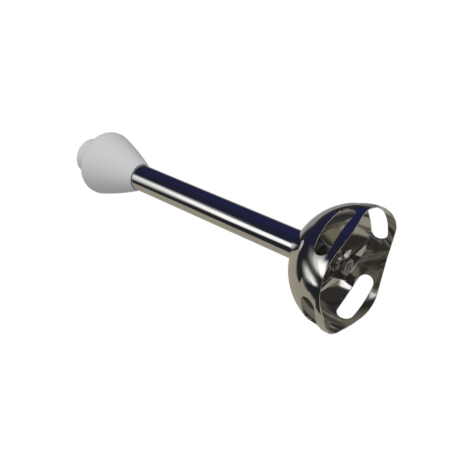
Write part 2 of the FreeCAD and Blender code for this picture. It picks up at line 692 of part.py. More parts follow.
# The drive shaft, with a centre hole in its lower end and a cross hole for the pin.
shaft_rod = turned("shaft_rod", [
    (0, D.shaft_foot + D.shaft_recess),
    (D.shaft_recess, D.shaft_foot),
    (D.shaft_radius - D.end_break, D.shaft_foot),
    (D.shaft_radius, D.shaft_foot + D.end_break),
    (D.shaft_radius, SHAFT_TOP - D.end_break),
    (D.shaft_radius - D.end_break, SHAFT_TOP),
    (0, SHAFT_TOP),
])
drive_shaft = cut("drive_shaft", shaft_rod, cross_cylinder(
    "shaft_pin_hole", D.pin_radius + D.fit_gap, D.shaft_radius * 4))


def circlip(name, bottom):
    """A snap ring that grips the shaft, open on one side."""
    whole = ring(name + "_ring", SHAFT_SEAT, D.clip_radius, bottom, D.clip_thickness)
    mouth = box(name + "_mouth", D.clip_radius * 2, D.clip_gap, D.clip_thickness * 3,
                0, -(D.clip_gap / 2), bottom - D.clip_thickness)
    return cut(name, whole, mouth)


upper_circlip = circlip("upper_circlip", UPPER_CLIP)
lower_circlip = circlip("lower_circlip", HOUSING_TOP + D.end_gap)


# The blade: one stamping. Its middle is a parallelogram; two long wings are lifted along
# the slanting sides and two short ones are folded down along the others.
BLADE_SKEW = (D.blade_far_corner - D.blade_near_corner) / (D.blade_half_depth * 2)
SKEW_LENGTH = root(BLADE_SKEW * BLADE_SKEW + 1)
SIDE_ANGLE = math.degrees(math.atan(BLADE_SKEW.value))
SHEET_HALF = D.blade_sheet / 2


def bent_strip(name, width, reach, bend, way):
    """A strip that runs out flat and then bends up (way 1) or down (way -1)."""
    inner, outer = D.bend_radius, D.bend_radius + D.blade_sheet
    middle = SHEET_HALF + D.bend_radius
    out, rise = cosine(bend), sine(bend)
    inner_end = (inner * rise, (middle - inner * out) * way)
    outer_end = (outer * rise, (middle - outer * out) * way)
    body = doc.addObject("PartDesign::Body", name)
    sketch = draw(new_sketch(body, "XZ_Plane", name + "_section"), [
        (-D.bend_root, SHEET_HALF * -way),
        (0, SHEET_HALF * -way, outer, way),
        outer_end,
        (outer_end[0] + reach * out, outer_end[1] + reach * rise * way),
        (inner_end[0] + reach * out, inner_end[1] + reach * rise * way),
        (inner_end[0], inner_end[1], inner, -way),
        (0, SHEET_HALF * way),
        (-D.bend_root, SHEET_HALF * way),
    ])
    padded(body, name + "_width", sketch, width, middle=True)
    return body


def on_blade(thing, x, y, turn):
    """Place a wing, drawn about its own fold, on the blade and turn it with the blade."""
    heading = D.blade_turn
    place(thing, x * cosine(heading) - y * sine(heading),
          x * sine(heading) + y * cosine(heading),
          D.blade_height, FreeCAD.Rotation(Z_AXIS, turn + heading.value))
    return thing


def bevelled(name, base, size, wanted):
    """Grind a bevel along the edges of base that the test picks."""
    doc.recompute()
    thing = doc.addObject("Part::Chamfer", name)
    thing.Base = base
    thing.Edges = [(number, size.value, size.value)
                   for number, edge in enumerate(base.Shape.Edges, start=1) if wanted(edge)]
    return thing


def long_wing(name, side):
    """A swept, pointed wing; side is 1 or -1 for the two ends of the blade."""
    half_fold, half_tip = D.wing_fold / 2, D.wing_tip / 2
    strip = bent_strip(name + "_strip", (D.wing_sweep + D.wing_fold) * 2, D.wing_reach,
                       D.wing_lift, 1)
    outline = doc.addObject("PartDesign::Body", name + "_plan")
    sketch = draw(new_sketch(outline, "XY_Plane", name + "_outline"), [
        (-D.bend_root, -half_fold),
        (0, -half_fold),
        (D.wing_reach, D.wing_sweep - half_tip),
        (D.wing_reach, D.wing_sweep + half_tip),
        (0, half_fold),
        (-D.bend_root, half_fold - D.bend_root * BLADE_SKEW),
    ])
    padded(outline, name + "_plan_height", sketch, D.wing_reach * 2, middle=True)
    wing = doc.addObject("Part::Common", name)
    wing.Base = strip
    wing.Tool = outline
    mid_x = D.blade_far_corner - half_fold * BLADE_SKEW / SKEW_LENGTH
    mid_y = D.blade_half_depth - half_fold / SKEW_LENGTH
    return on_blade(wing, mid_x * side, mid_y * side, -SIDE_ANGLE + 90 * (1 - side))


def short_wing(name, side):
    """A short wing, folded down; side is 1 or -1 for the two sides of the blade."""
    strip = bent_strip(name + "_strip", D.tab_fold, D.tab_reach, D.tab_drop, -1)
    far = D.tab_reach.value * cosine(D.tab_drop).value

    outermost = far + (D.bend_radius.value + D.blade_sheet.value) * sine(D.tab_drop).value

    def is_outer_end(edge):
        span = edge.BoundBox
        return abs(span.XMin - outermost) < 0.01 and abs(span.XMax - outermost) < 0.01

    ends = bevelled(name, strip, D.tab_bevel, is_outer_end)
    mid_x = D.blade_near_corner - D.tab_fold / 2
    return on_blade(ends, mid_x * side, -D.blade_half_depth * side, -90 + 90 * (1 - side))


blade_middle = doc.addObject("PartDesign::Body", "blade_middle")
plate_sketch = draw(new_sketch(blade_middle, "XY_Plane", "blade_outline"), [
    (-D.blade_far_corner, -D.blade_half_depth),
    (D.blade_near_corner, -D.blade_half_depth),
    (D.blade_far_corner, D.blade_half_depth),
    (-D.blade_near_corner, D.blade_half_depth),
])
padded(blade_middle, "blade_plate", plate_sketch, D.blade_sheet, middle=True)
on_blade(blade_middle, Size(0), Size(0), 0.0)
blade_blank = fuse("blade_blank", [
    blade_middle,
    long_wing("long_wing", 1),
    long_wing("far_long_wing", -1),
    short_wing("short_wing", 1),
    short_wing("far_short_wing", -1),
])
blade = cut("blade", blade_blank, cylinder(
    "blade_hole", SHAFT_SEAT, D.blade_sheet * 3, bottom=D.blade_height - D.blade_sheet * 1.5))
blade_hub = ring("blade_hub", SHAFT_SEAT, D.hub_radius, BLADE_TOP + D.fit_gap, D.hub_height)
blade_cap = ring("blade_cap", SHAFT_SEAT, D.cap_radius,
                 BLADE_BOTTOM - D.fit_gap - D.cap_height, D.cap_height)


# Check the whole document, then write each sub-part under its own name.
SUB_PARTS = [
    bell_guard, shaft_tube, collar_shell, coupling_spigot, tube_socket, collar_seal,
    upper_bearing, bearing_retainer, dust_seal, upper_thrust_washer, middle_bearing,
    lower_bearing_housing, lower_bearing, housing_o_ring, lip_seal, seal_retainer,
    lower_thrust_washer, drive_shaft, blade, blade_hub, blade_cap, upper_circlip,
    lower_circlip, drive_coupling, coupling_pin,
]
doc.recompute()
failed = [item.Name for item in doc.Objects if set(item.State) & {"Invalid", "Error"}]
if failed:
    raise RuntimeError("These objects did not rebuild: " + ", ".join(failed))
os.makedirs("parts", exist_ok=True)
for item in SUB_PARTS:
    item.Label = item.Name
    if item.Shape.isNull() or not item.Shape.isValid() or not item.Shape.Solids:
        raise RuntimeError(item.Label + " has no valid solid")
for item in SUB_PARTS:
    item.Shape.exportStep("parts/%s.step" % item.Label)
    size = item.Shape.BoundBox
    print("%-22s %6.1f mm3, z %.2f to %.2f, %d solid(s)" % (
        item.Label, item.Shape.Volume, size.ZMin, size.ZMax, len(item.Shape.Solids)))
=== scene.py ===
import math

import bmesh
import bpy
import numpy as np
from mathutils import Matrix, Vector


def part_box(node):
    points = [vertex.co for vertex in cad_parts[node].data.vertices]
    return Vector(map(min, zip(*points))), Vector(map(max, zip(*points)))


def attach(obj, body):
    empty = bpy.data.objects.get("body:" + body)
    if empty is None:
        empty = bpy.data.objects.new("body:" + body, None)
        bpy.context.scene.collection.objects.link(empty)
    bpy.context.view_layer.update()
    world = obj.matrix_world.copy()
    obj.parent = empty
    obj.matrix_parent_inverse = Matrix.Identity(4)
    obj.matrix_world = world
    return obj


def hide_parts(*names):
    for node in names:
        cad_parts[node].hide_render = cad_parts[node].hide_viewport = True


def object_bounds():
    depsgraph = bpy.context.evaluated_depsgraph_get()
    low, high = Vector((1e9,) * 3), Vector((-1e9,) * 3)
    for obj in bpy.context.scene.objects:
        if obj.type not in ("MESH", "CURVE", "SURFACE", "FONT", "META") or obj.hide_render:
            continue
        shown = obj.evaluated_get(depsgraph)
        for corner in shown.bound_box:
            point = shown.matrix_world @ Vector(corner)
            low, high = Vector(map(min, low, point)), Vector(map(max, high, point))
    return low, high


bl_info = {
    "name": "Blending foot",
    "version": (1, 0, 0),
    "blender": (4, 5, 0),
    "location": "3D View > Sidebar > Blending foot",
    "description": "Dresses the packed blending foot: polished bell and tube, collar, blade",
    "category": "Object",
}

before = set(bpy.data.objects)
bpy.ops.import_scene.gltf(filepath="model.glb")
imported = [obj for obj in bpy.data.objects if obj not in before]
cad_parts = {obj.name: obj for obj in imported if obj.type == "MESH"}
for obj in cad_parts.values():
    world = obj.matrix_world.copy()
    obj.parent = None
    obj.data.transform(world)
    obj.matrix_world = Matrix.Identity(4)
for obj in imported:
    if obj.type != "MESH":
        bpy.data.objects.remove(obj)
cad_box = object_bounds()

MM = 0.001
FULL_TURN = 2 * math.pi
QUARTER = math.pi / 2
EIGHTH = math.pi / 4


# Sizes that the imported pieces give.

def top(node):
    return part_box(node)[1].z


def bottom(node):
    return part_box(node)[0].z


def reach(node):
    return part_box(node)[1].x


# Settings that a user may change, with the real piece's values as defaults.

def length(name, description, default):
    return bpy.props.FloatProperty(
        name=name, description=description, default=default, min=0.0,
        unit="LENGTH", precision=5)


def angle(name, description, degrees):
    return bpy.props.FloatProperty(
        name=name, description=description, default=math.radians(degrees), subtype="ANGLE")


def share(name, description, default):
    return bpy.props.FloatProperty(
        name=name, description=description, default=default, min=0.0, max=1.0, subtype="FACTOR")


def colour(name, description, default):
    return bpy.props.FloatVectorProperty(
        name=name, description=description, default=default, size=3, min=0.0, max=1.0,
        subtype="COLOR")


class BellSettings(bpy.types.PropertyGroup):
    dome_radius: length("Dome radius", "Outside radius of the dome", reach("bell_guard"))
    dome_centre: length("Dome centre", "Height of the dome's centre", 3.0 * MM)
    wall: length("Wall", "Sheet thickness", 0.8 * MM)
    neck_radius: length("Neck radius", "Outside radius of the neck", reach("shaft_tube"))
    neck_round: length("Neck flare", "Flare between the dome and the neck", 3.0 * MM)
    neck_height: length("Neck height", "Height of the welded edge", top("bell_guard"))
    notch_depth: length("Notch depth", "Rise of the rim between two lobes", 3.0 * MM)
    notch_half_width: length("Notch half width", "Half width of a rise of the rim", 20.0 * MM)
    notch_blend: length("Notch blend", "Radius between a rise and a lobe's foot", 20.0 * MM)
    flute_depth: length("Flute depth", "Depth of a flute at its deepest", 0.6 * MM)
    flute_width: length("Flute width", "Half width of a flute", 2.6 * MM)
    flute_length: length("Flute length", "Half length of a flute", 8.0 * MM)
    flute_rise: angle("Flute rise", "Elevation of a flute's middle", 12.0)
    flute_lean: angle("Flute lean", "Lean of a flute away from upright", 30.0)
    flute_turn: angle("Flute turn", "Turn of the flutes from midway between the windows", 3.0)
    window_half_width: length("Window half width", "Half width of a window", 14.5 * MM)
    window_bottom: length("Window bottom", "Height of a window's lower edge", 4.9 * MM)
    window_top: length("Window top", "Height of a window's upper edge", 14.3 * MM)
    window_end: length("Window end", "Radius of a window's ends", 4.4 * MM)
    edge_round: length("Edge round", "Rounding of the sheet's cut edges", 0.14 * MM)


class BladeSettings(bpy.types.PropertyGroup):
    height: length("Height", "Height of the blade's middle plane", 9.0 * MM)
    sheet: length("Sheet", "Thickness of the blade", 1.2 * MM)
    bore: length("Bore", "Radius of the hole for the shaft", 2.53 * MM)
    half_depth: length("Half depth", "Half depth of the blade's middle", 7.64 * MM)
    near_corner: length("Near corner", "Corner beside a short wing", 4.56 * MM)
    far_corner: length("Far corner", "Corner beside a long wing", 10.9 * MM)
    turn: angle("Turn", "Turn of the blade at rest", -4.8)
    wing_reach: length("Wing reach", "Reach of a long wing past its fold", 11.0 * MM)
    wing_sweep: length("Wing sweep", "Sweep of a long wing's tip", 11.7 * MM)
    wing_fold: length("Wing fold", "Length of a long wing's fold", 8.8 * MM)
    wing_tip: length("Wing tip", "Width of a long wing's tip", 1.4 * MM)
    wing_lift: angle("Wing lift", "Upward bend of a long wing", 8.0)
    tab_reach: length("Tab reach", "Reach of a short wing past its bend", 4.4 * MM)
    tab_fold: length("Tab fold", "Width of a short wing", 5.0 * MM)
    tab_drop: angle("Tab drop", "Downward bend of a short wing", 48.0)
    tab_round: length("Tab round", "Inside radius of a short wing's bend", 0.6 * MM)
    flank: length("Flank", "Width of the pressed flanks at their wide end", 2.4 * MM)
    flank_drop: angle("Flank drop", "Downward bend of the pressed flanks", 6.0)
    grind: length("Grind", "Width of the ground bevel on the edges", 0.35 * MM)


class CollarSettings(bpy.types.PropertyGroup):
    mouth: length("Mouth", "Outside radius at the tube", 9.13 * MM)
    lip: length("Lip", "Rounding of the edge at the tube", 0.85 * MM)
    radius: length("Radius", "Largest radius", reach("collar_shell"))
    cone: length("Cone", "Height of the cone", 29.7 * MM)
    crown: length("Crown", "Radius of the cone's swell", 200.0 * MM)
    shoulder: length("Shoulder", "Rounding of the shoulder", 5.0 * MM)
    hole: length("Hole", "Radius of the hole for the spigot", 11.73 * MM)
    wall: length("Wall", "Thickness of the wall", 1.8 * MM)


class FinishSettings(bpy.types.PropertyGroup):
    steel: colour("Steel", "Colour of the polished steel", (0.80, 0.79, 0.78))
    blade: colour("Blade steel", "Colour of the stamped blade", (0.62, 0.61, 0.59))
    turned: colour("Turned steel", "Colour of the turned steel pieces", (0.68, 0.67, 0.65))
    bronze: colour("Bronze", "Colour of the sintered bushes", (0.55, 0.40, 0.22))
    white: colour("White plastic", "Colour of the collar and spigot", (0.66, 0.66, 0.655))
    grey: colour("Grey plastic", "Colour of the inner plastic pieces", (0.40, 0.41, 0.42))
    dark: colour("Dark plastic", "Colour of the bearing housing", (0.055, 0.05, 0.045))
    rubber: colour("Rubber", "Colour of the seals", (0.03, 0.03, 0.03))


class StageSettings(bpy.types.PropertyGroup):
    camera_place: bpy.props.FloatVectorProperty(
        name="Camera place", description="Where the camera stands", size=3,
        default=(0.13070, 0.27588, -0.12347), subtype="TRANSLATION", unit="LENGTH")
    camera_right: bpy.props.FloatVectorProperty(
        name="Camera right", description="Direction of the picture's right", size=3,
        default=(-0.57856, -0.29238, -0.76143), subtype="DIRECTION")
    camera_up: bpy.props.FloatVectorProperty(
        name="Camera up", description="Direction of the picture's top", size=3,
        default=(-0.74302, 0.57401, 0.34416), subtype="DIRECTION")
    focal_length: bpy.props.FloatProperty(
        name="Focal length", description="Focal length on a 36 mm sensor, in millimetres",
        default=50.486, min=1.0)
    floor: colour("Floor", "Colour of the pale floor", (0.88, 0.88, 0.88))
    floor_glow: share("Floor glow", "Light of the floor's own, which keeps it pale", 0.32)


class FootSettings(bpy.types.PropertyGroup):
    bell: bpy.props.PointerProperty(type=BellSettings)
    blade: bpy.props.PointerProperty(type=BladeSettings)
    collar: bpy.props.PointerProperty(type=CollarSettings)
    finish: bpy.props.PointerProperty(type=FinishSettings)
    stage: bpy.props.PointerProperty(type=StageSettings)


# Shader expressions.

class Wire:
    """A shader socket that takes part in Python arithmetic: an expression adds its nodes."""

    def __init__(self, tree, socket):
        self.tree = tree
        self.socket = socket

    def __add__(self, other):
        return self.tree.math("ADD", self, other)

    __radd__ = __add__

    def __sub__(self, other):
        return self.tree.math("SUBTRACT", self, other)

    def __rsub__(self, other):
        return self.tree.math("SUBTRACT", other, self)

    def __mul__(self, other):
        return self.tree.math("MULTIPLY", self, other)

    __rmul__ = __mul__

    def dot(self, vector):
        return self.tree.node("ShaderNodeVectorMath", {"operation": "DOT_PRODUCT"},
                              {0: self, 1: vector}, output="Value")

    def scaled(self, vector):
        return self.tree.node("ShaderNodeVectorMath", {"operation": "MULTIPLY"},
                              {0: self, 1: vector})

    def between(self, low, high):
        """0 below low, 1 above high and a smooth rise between them."""
        return self.tree.node("ShaderNodeMapRange", {"interpolation_type": "SMOOTHSTEP"},
                              {"Value": self, "From Min": low, "From Max": high})

    def spread(self, low, high):
        """A mask from 0 to 1 brought to the range from low to high."""
        return self * (high - low) + low


# The Mix node has a pair of inputs and an output of one name for each type: these are the
# colours' own.
MIX_COLOURS = (6, 7)
MIX_RESULT = 2


class Tree:
    """A shader's node tree, written as expressions."""

    def __init__(self, owner):
        owner.use_nodes = True
        self.tree = owner.node_tree
        self.tree.nodes.clear()

    def node(self, kind, settings=None, inputs=None, output=0):
        """Add a node: its settings first, then the values or links of its sockets."""
        made = self.tree.nodes.new(kind)
        for name, value in (settings or {}).items():
            setattr(made, name, value)
        for name, value in (inputs or {}).items():
            if isinstance(value, Wire):
                self.tree.links.new(value.socket, made.inputs[name])
            else:
                made.inputs[name].default_value = value
        return Wire(self, made.outputs[output]) if made.outputs else made

    def math(self, operation, first, second=0.0):
        return self.node("ShaderNodeMath", {"operation": operation}, {0: first, 1: second})

    def mix(self, first, second, factor):
        """A colour between two, by a factor."""
        inputs = {"Factor": factor}
        for socket, shade in zip(MIX_COLOURS, (first, second)):
            inputs[socket] = shade if isinstance(shade, Wire) else (*shade, 1.0)
        return self.node("ShaderNodeMix", {"data_type": "RGBA"}, inputs, output=MIX_RESULT)

    def noise(self, scale, detail, stretch=(1.0, 1.0, 1.0)):
        """A mask of cloudy noise over the piece, with about scale spots in a metre."""
        place = self.node("ShaderNodeTexCoord", output="Object")
        return self.node("ShaderNodeTexNoise", None, {
            "Vector": place.scaled(stretch), "Scale": scale, "Detail": detail})

    def bump(self, height, distance):
        return self.node("ShaderNodeBump", None, {"Height": height, "Distance": distance})


def material(name, shade, worn, roughness, relief, masks, **constants):
    """A finish whose colour goes from shade to worn times shade, and whose roughness goes
    through a range, under a relief of some depth. Its masks steer the three in this order,
    and the constants go straight on the shader."""
    made = bpy.data.materials.new(name)
    tree = Tree(made)
    tone, gloss, height = masks(tree)
    shader = tree.node("ShaderNodeBsdfPrincipled", None, {
        **constants,
        "Base Color": tree.mix(shade, [worn * part for part in shade], tone),
        "Roughness": gloss.spread(*roughness),
        "Normal": tree.bump(height, relief)})
    tree.node("ShaderNodeOutputMaterial", None, {"Surface": shader})
    return made


def polished_steel(shade):
    def masks(tree):
        haze = tree.noise(240.0, 3.0).between(0.35, 0.75)
        return haze, haze, tree.noise(90.0, 1.0)
    return material("bright_steel", shade, 0.94, (0.035, 0.065), 0.03 * MM, masks, Metallic=1.0)


def brushed_steel(shade):
    def masks(tree):
        streaks = tree.noise(420.0, 3.0, (1.0, 1.0, 0.25))
        return streaks, streaks, streaks
    return material("brushed_inside", shade, 0.88, (0.07, 0.12), 0.01 * MM, masks, Metallic=1.0)


def stamped_steel(shade):
    def masks(tree):
        grain = tree.noise(900.0, 2.0, (1.0, 0.06, 1.0))
        return tree.noise(160.0, 3.0), grain, grain
    return material("blade_steel", shade, 0.82, (0.08, 0.16), 0.006 * MM, masks, Metallic=1.0)


def turned_steel(shade):
    def masks(tree):
        rings = tree.noise(1500.0, 1.0, (0.03, 0.03, 1.0))
        return rings, rings, rings
    return material("plain_steel", shade, 0.85, (0.28, 0.40), 0.006 * MM, masks, Metallic=1.0)


def sintered_bronze(shade):
    def masks(tree):
        pores = tree.noise(4000.0, 2.0)
        return pores.between(0.55, 0.75), pores, pores
    return material("bronze", shade, 0.55, (0.3, 0.6), 0.02 * MM, masks, Metallic=1.0)


def moulded_plastic(name, shade, roughness, grain, relief):
    def masks(tree):
        texture = tree.noise(grain, 3.0)
        return tree.noise(60.0, 2.0), texture, texture
    return material(name, shade, 0.965, roughness, relief, masks, IOR=1.5)


def moulded_rubber(shade):
    def masks(tree):
        bloom = tree.noise(700.0, 3.0)
        return bloom, bloom, bloom
    return material("black_rubber", shade, 1.9, (0.5, 0.7), 0.01 * MM, masks, IOR=1.52)


# Meshes.

# Points are shared where they agree to this many steps in a metre.
POINT_STEPS = 1e7


class Skin:
    """Collects one mesh. Points that coincide are shared, and each may have its own normal."""

    def __init__(self):
        self.points = []
        self.normals = []
        self.faces = []
        self.finish_numbers = []
        self.found = {}

    def add(self, points, normals=None):
        """Add an array of points; the answer is an array of their numbers."""
        flat = np.asarray(points, float).reshape(-1, 3)
        shape = np.asarray(points).shape[:-1]
        given = [None] * len(flat) if normals is None else np.asarray(normals).reshape(-1, 3)
        numbers = []
        for point, normal in zip(flat, given):
            key = tuple(np.round(point * POINT_STEPS).astype(int))
            if key not in self.found:
                self.found[key] = len(self.points)
                self.points.append(point)
                self.normals.append(normal)
            elif self.normals[self.found[key]] is None:
                self.normals[self.found[key]] = normal
            numbers.append(self.found[key])
        return np.array(numbers).reshape(shape)

    def apart(self):
        """Start a closed part of its own: it shares no point with what is there."""
        self.found = {}

    def grid(self, rows, closed=False, finish=0):
        """Faces between rows of point numbers; closed joins each row's end to its start."""
        rows = np.asarray(rows)
        if closed:
            rows = np.concatenate([rows, rows[:, :1]], axis=1)
        for low, high in zip(rows[:-1], rows[1:]):
            for a, b, c, d in zip(low[:-1], low[1:], high[1:], high[:-1]):
                ring = list(dict.fromkeys((int(a), int(b), int(c), int(d))))
                if len(ring) > 2:
                    self.faces.append(ring)
                    self.finish_numbers.append(finish)

    def face(self, ring):
        self.faces.append([int(number) for number in ring])
        self.finish_numbers.append(0)

    def build(self, name, *finishes, smooth=True):
        """The mesh as an object. A flat-shaded one has its faces turned outward here."""
        mesh = bpy.data.meshes.new(name)
        mesh.from_pydata([tuple(point) for point in self.points], [], self.faces)
        for finish in finishes:
            mesh.materials.append(finish)
        mesh.polygons.foreach_set("material_index", self.finish_numbers)
        mesh.polygons.foreach_set("use_smooth", [smooth] * len(mesh.polygons))
        if not smooth:
            shells = bmesh.new()
            shells.from_mesh(mesh)
            bmesh.ops.recalc_face_normals(shells, faces=shells.faces)
            shells.to_mesh(mesh)
            shells.free()
        mesh.update()
        if any(normal is not None for normal in self.normals):
            own = [tuple(vertex.normal) if normal is None else tuple(normal)
                   for vertex, normal in zip(mesh.vertices, self.normals)]
            mesh.normals_split_custom_set_from_vertices(own)
        piece = bpy.data.objects.new(name, mesh)
        bpy.context.scene.collection.objects.link(piece)
        return piece


def settle(piece, body, slot, *nodes):
    """Ride a finished piece on its body in place of the nodes that it stands for."""
    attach(piece, body)
    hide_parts(*nodes)


# The bell.

# It has four like cells, one round each window, and a cap above them up to the neck. These
# are the elevation where the cap begins, and numbers of faces.
CELL_TOP = math.radians(40)
ALONG_TOP, ALONG_SIDE, ACROSS_CELL = 56, 30, 26
EDGE_STEPS = 4
CAP_RINGS, FLARE_RINGS = 26, 14
# Searches for a point of the dome begin and end at these shares of its radius, for the rim
# at these elevations, and halve what is left this many times.
NEAR_DOME, NEAR_WINDOW, PAST_DOME = 0.9, 0.6, 1.01
RIM_LOWEST, RIM_HIGHEST = -0.2, 0.35
DOME_HALVINGS, RIM_HALVINGS = 44, 36
SLOPE_STEP = 1e-6


class BellForm:
    """The bell's outer or inner face: a dome with four leaning flutes pressed into it."""

    def __init__(self, sizes, inset):
        self.inset = inset
        self.centre = np.array([0.0, 0.0, sizes.dome_centre])
        self.radius = sizes.dome_radius - inset
        self.dent = sizes.flute_depth
        rise, lean = sizes.flute_rise, sizes.flute_lean
        self.flutes = []
        for turn in range(4):
            heading = QUARTER * (turn + 0.5) + sizes.flute_turn
            out = np.array([math.cos(heading) * math.cos(rise),
                            math.sin(heading) * math.cos(rise), math.sin(rise)])
            up = np.array([-math.cos(heading) * math.sin(rise),
                           -math.sin(heading) * math.sin(rise), math.cos(rise)])
            side = np.cross(up, out)
            along = up * math.cos(lean) + side * math.sin(lean)
            across = side * math.cos(lean) - up * math.sin(lean)
            self.flutes.append((out, along * sizes.dome_radius / sizes.flute_length,
                                across * sizes.dome_radius / sizes.flute_width))

    def depth(self, points):
        """How far points lie outside the fluted face."""
        away = points - self.centre
        distance = np.linalg.norm(away, axis=-1)
        outward = away / distance[..., None]
        result = distance - self.radius
        for out, along, across in self.flutes:
            off = (outward @ along) ** 2 + (outward @ across) ** 2
            result = result + self.dent * np.exp(-off) * (outward @ out > 0)
        return result

    def meet(self, start, direction, near, far):
        """Points where rays from start leave the form, looked for between two distances."""
        start, direction = np.broadcast_arrays(start, direction)
        low = np.full(direction.shape[:-1], near)
        high = np.full(direction.shape[:-1], far)
        for _ in range(DOME_HALVINGS):
            middle = (low + high) / 2
            outside = self.depth(start + direction * middle[..., None]) > 0
            high = np.where(outside, middle, high)
            low = np.where(outside, low, middle)
        return start + direction * ((low + high) / 2)[..., None]

    def at(self, azimuth, elevation):
        """Points of the form at these angles from the dome's centre."""
        direction = np.stack([np.cos(azimuth) * np.cos(elevation),
                              np.sin(azimuth) * np.cos(elevation), np.sin(elevation)], axis=-1)
        return self.meet(self.centre, direction, self.radius * NEAR_DOME,
                         self.radius * PAST_DOME)

    def angles(self, points):
        """Azimuth and elevation of points from the dome's centre."""
        away = points - self.centre
        flat = np.hypot(away[..., 0], away[..., 1])
        return np.arctan2(away[..., 1], away[..., 0]), np.arctan2(away[..., 2], flat)

    def normal(self, points):
        slopes = [self.depth(points + side) - self.depth(points - side)
                  for side in np.eye(3) * SLOPE_STEP]
        slope = np.stack(slopes, axis=-1)
        return slope / np.linalg.norm(slope, axis=-1)[..., None]


def rim_height(sizes, points):
    """Height of the wavy rim under points: two waves that cross at right angles."""
    crest = (sizes.notch_half_width ** 2 + sizes.notch_depth ** 2) / (2 * sizes.notch_depth)
    blend = sizes.notch_blend
    foot = math.sqrt((crest + blend) ** 2 - (crest - sizes.notch_depth + blend) ** 2)
    swap = foot * crest / (crest + blend)
    height = np.zeros(points.shape[:-1])
    for side in (1, -1):
        across = np.abs(points[..., 0] + side * points[..., 1]) / math.sqrt(2)
        rise = sizes.notch_depth - crest + np.sqrt(np.maximum(crest ** 2 - across ** 2, 0))
        fall = blend - np.sqrt(np.maximum(blend ** 2 - (foot - across) ** 2, 0))
        wave = np.where(across < swap, rise, np.where(across < foot, fall, 0.0))
        height = np.maximum(height, wave)
    return height


def window_outline(sizes, grow):
    """A window's outline (across, height), grown outward. It starts at the upper right and
    turns anticlockwise."""
    end = sizes.window_end
    waist = sizes.window_half_width - end
    low = sizes.window_bottom + end
    rise = sizes.window_top - low
    crown = (waist ** 2 + rise ** 2 - end ** 2) / (2 * (rise - end))
    lean = math.atan2(waist, crown - rise)
    upper = QUARTER - lean

    def arc(centre, radius, start, finish):
        return abs(finish - start) * radius, lambda part: (
            centre[0] + radius * np.cos(start + (finish - start) * part),
            centre[1] + radius * np.sin(start + (finish - start) * part))

    def line(start, finish):
        return abs(finish[0] - start[0]), lambda part: (
            start[0] + (finish[0] - start[0]) * part, start[1])

    right, left = (waist, low), (-waist, low)
    small, big = end + grow, crown + grow
    peak = (0.0, low + rise - crown)
    base = sizes.window_bottom - grow
    sides = [
        (ALONG_TOP, [arc(right, small, EIGHTH, upper), arc(peak, big, upper, math.pi - upper),
                     arc(left, small, math.pi - upper, math.pi - EIGHTH)]),
        (ALONG_SIDE, [arc(left, small, math.pi - EIGHTH, math.pi + EIGHTH)]),
        (ALONG_TOP, [arc(left, small, math.pi + EIGHTH, math.pi + QUARTER),
                     line((-waist, base), (waist, base)),
                     arc(right, small, -QUARTER, -EIGHTH)]),
        (ALONG_SIDE, [arc(right, small, -EIGHTH, EIGHTH)]),
    ]
    points = []
    for count, runs in sides:
        lengths = np.cumsum([0.0] + [run[0] for run in runs])
        for step in range(count):
            along = lengths[-1] * step / count
            number = min(np.searchsorted(lengths, along, side="right") - 1, len(runs) - 1)
            points.append(runs[number][1]((along - lengths[number]) / runs[number][0]))
    return np.array(points)


def turned(points, heading):
    """Points or normals turned about the shaft."""
    spin = np.array([[math.cos(heading), -math.sin(heading), 0.0],
                     [math.sin(heading), math.cos(heading), 0.0], [0.0, 0.0, 1.0]])
    return points @ spin.T


def edge_of_window(form, sizes, grow):
    """Points of a face round the window that looks along X, grown outward."""
    outline = window_outline(sizes, grow)
    start = np.stack([np.zeros(len(outline)), outline[:, 0], outline[:, 1]], axis=-1)
    return form.meet(start, np.array([1.0, 0.0, 0.0]), form.radius * NEAR_WINDOW,
                     form.radius * PAST_DOME)


def edge_of_rim(form, sizes, azimuth, lift):
    """Points of a face where it stands lift above the rim, at some azimuths."""
    low = np.full(azimuth.shape, RIM_LOWEST)
    high = np.full(azimuth.shape, RIM_HIGHEST)
    for _ in range(RIM_HALVINGS):
        middle = (low + high) / 2
        points = form.at(azimuth, middle)
        above = points[..., 2] > rim_height(sizes, points) + lift
        high = np.where(above, middle, high)
        low = np.where(above, low, middle)
    return form.at(azimuth, (low + high) / 2)


def bell_cell(form, sizes):
    """One face round one window: rows of points from the window's edge out to the cell's
    border, which is the rim below, the flutes' middles at the sides and a ring above."""
    edge = edge_of_window(form, sizes, sizes.edge_round)
    inner_azimuth, inner_elevation = form.angles(edge)
    above = np.linspace(EIGHTH, -EIGHTH, ALONG_TOP, endpoint=False)
    below = np.linspace(-EIGHTH, EIGHTH, ALONG_TOP, endpoint=False)
    rim = edge_of_rim(form, sizes, np.append(below, EIGHTH), sizes.edge_round)
    rim_elevation = form.angles(rim)[1]
    corner = rim_elevation[0]
    down = np.linspace(CELL_TOP, corner, ALONG_SIDE, endpoint=False)
    climb = np.linspace(corner, CELL_TOP, ALONG_SIDE, endpoint=False)
    azimuth = np.concatenate([above, np.full(ALONG_SIDE, -EIGHTH), below,
                              np.full(ALONG_SIDE, EIGHTH)])
    elevation = np.concatenate([np.full(ALONG_TOP, CELL_TOP), down, rim_elevation[:-1], climb])
    rows = [edge]
    for step in range(1, ACROSS_CELL + 1):
        part = step / ACROSS_CELL
        rows.append(form.at(inner_azimuth * (1 - part) + azimuth * part,
                            inner_elevation * (1 - part) + elevation * part))
    return np.array(rows)


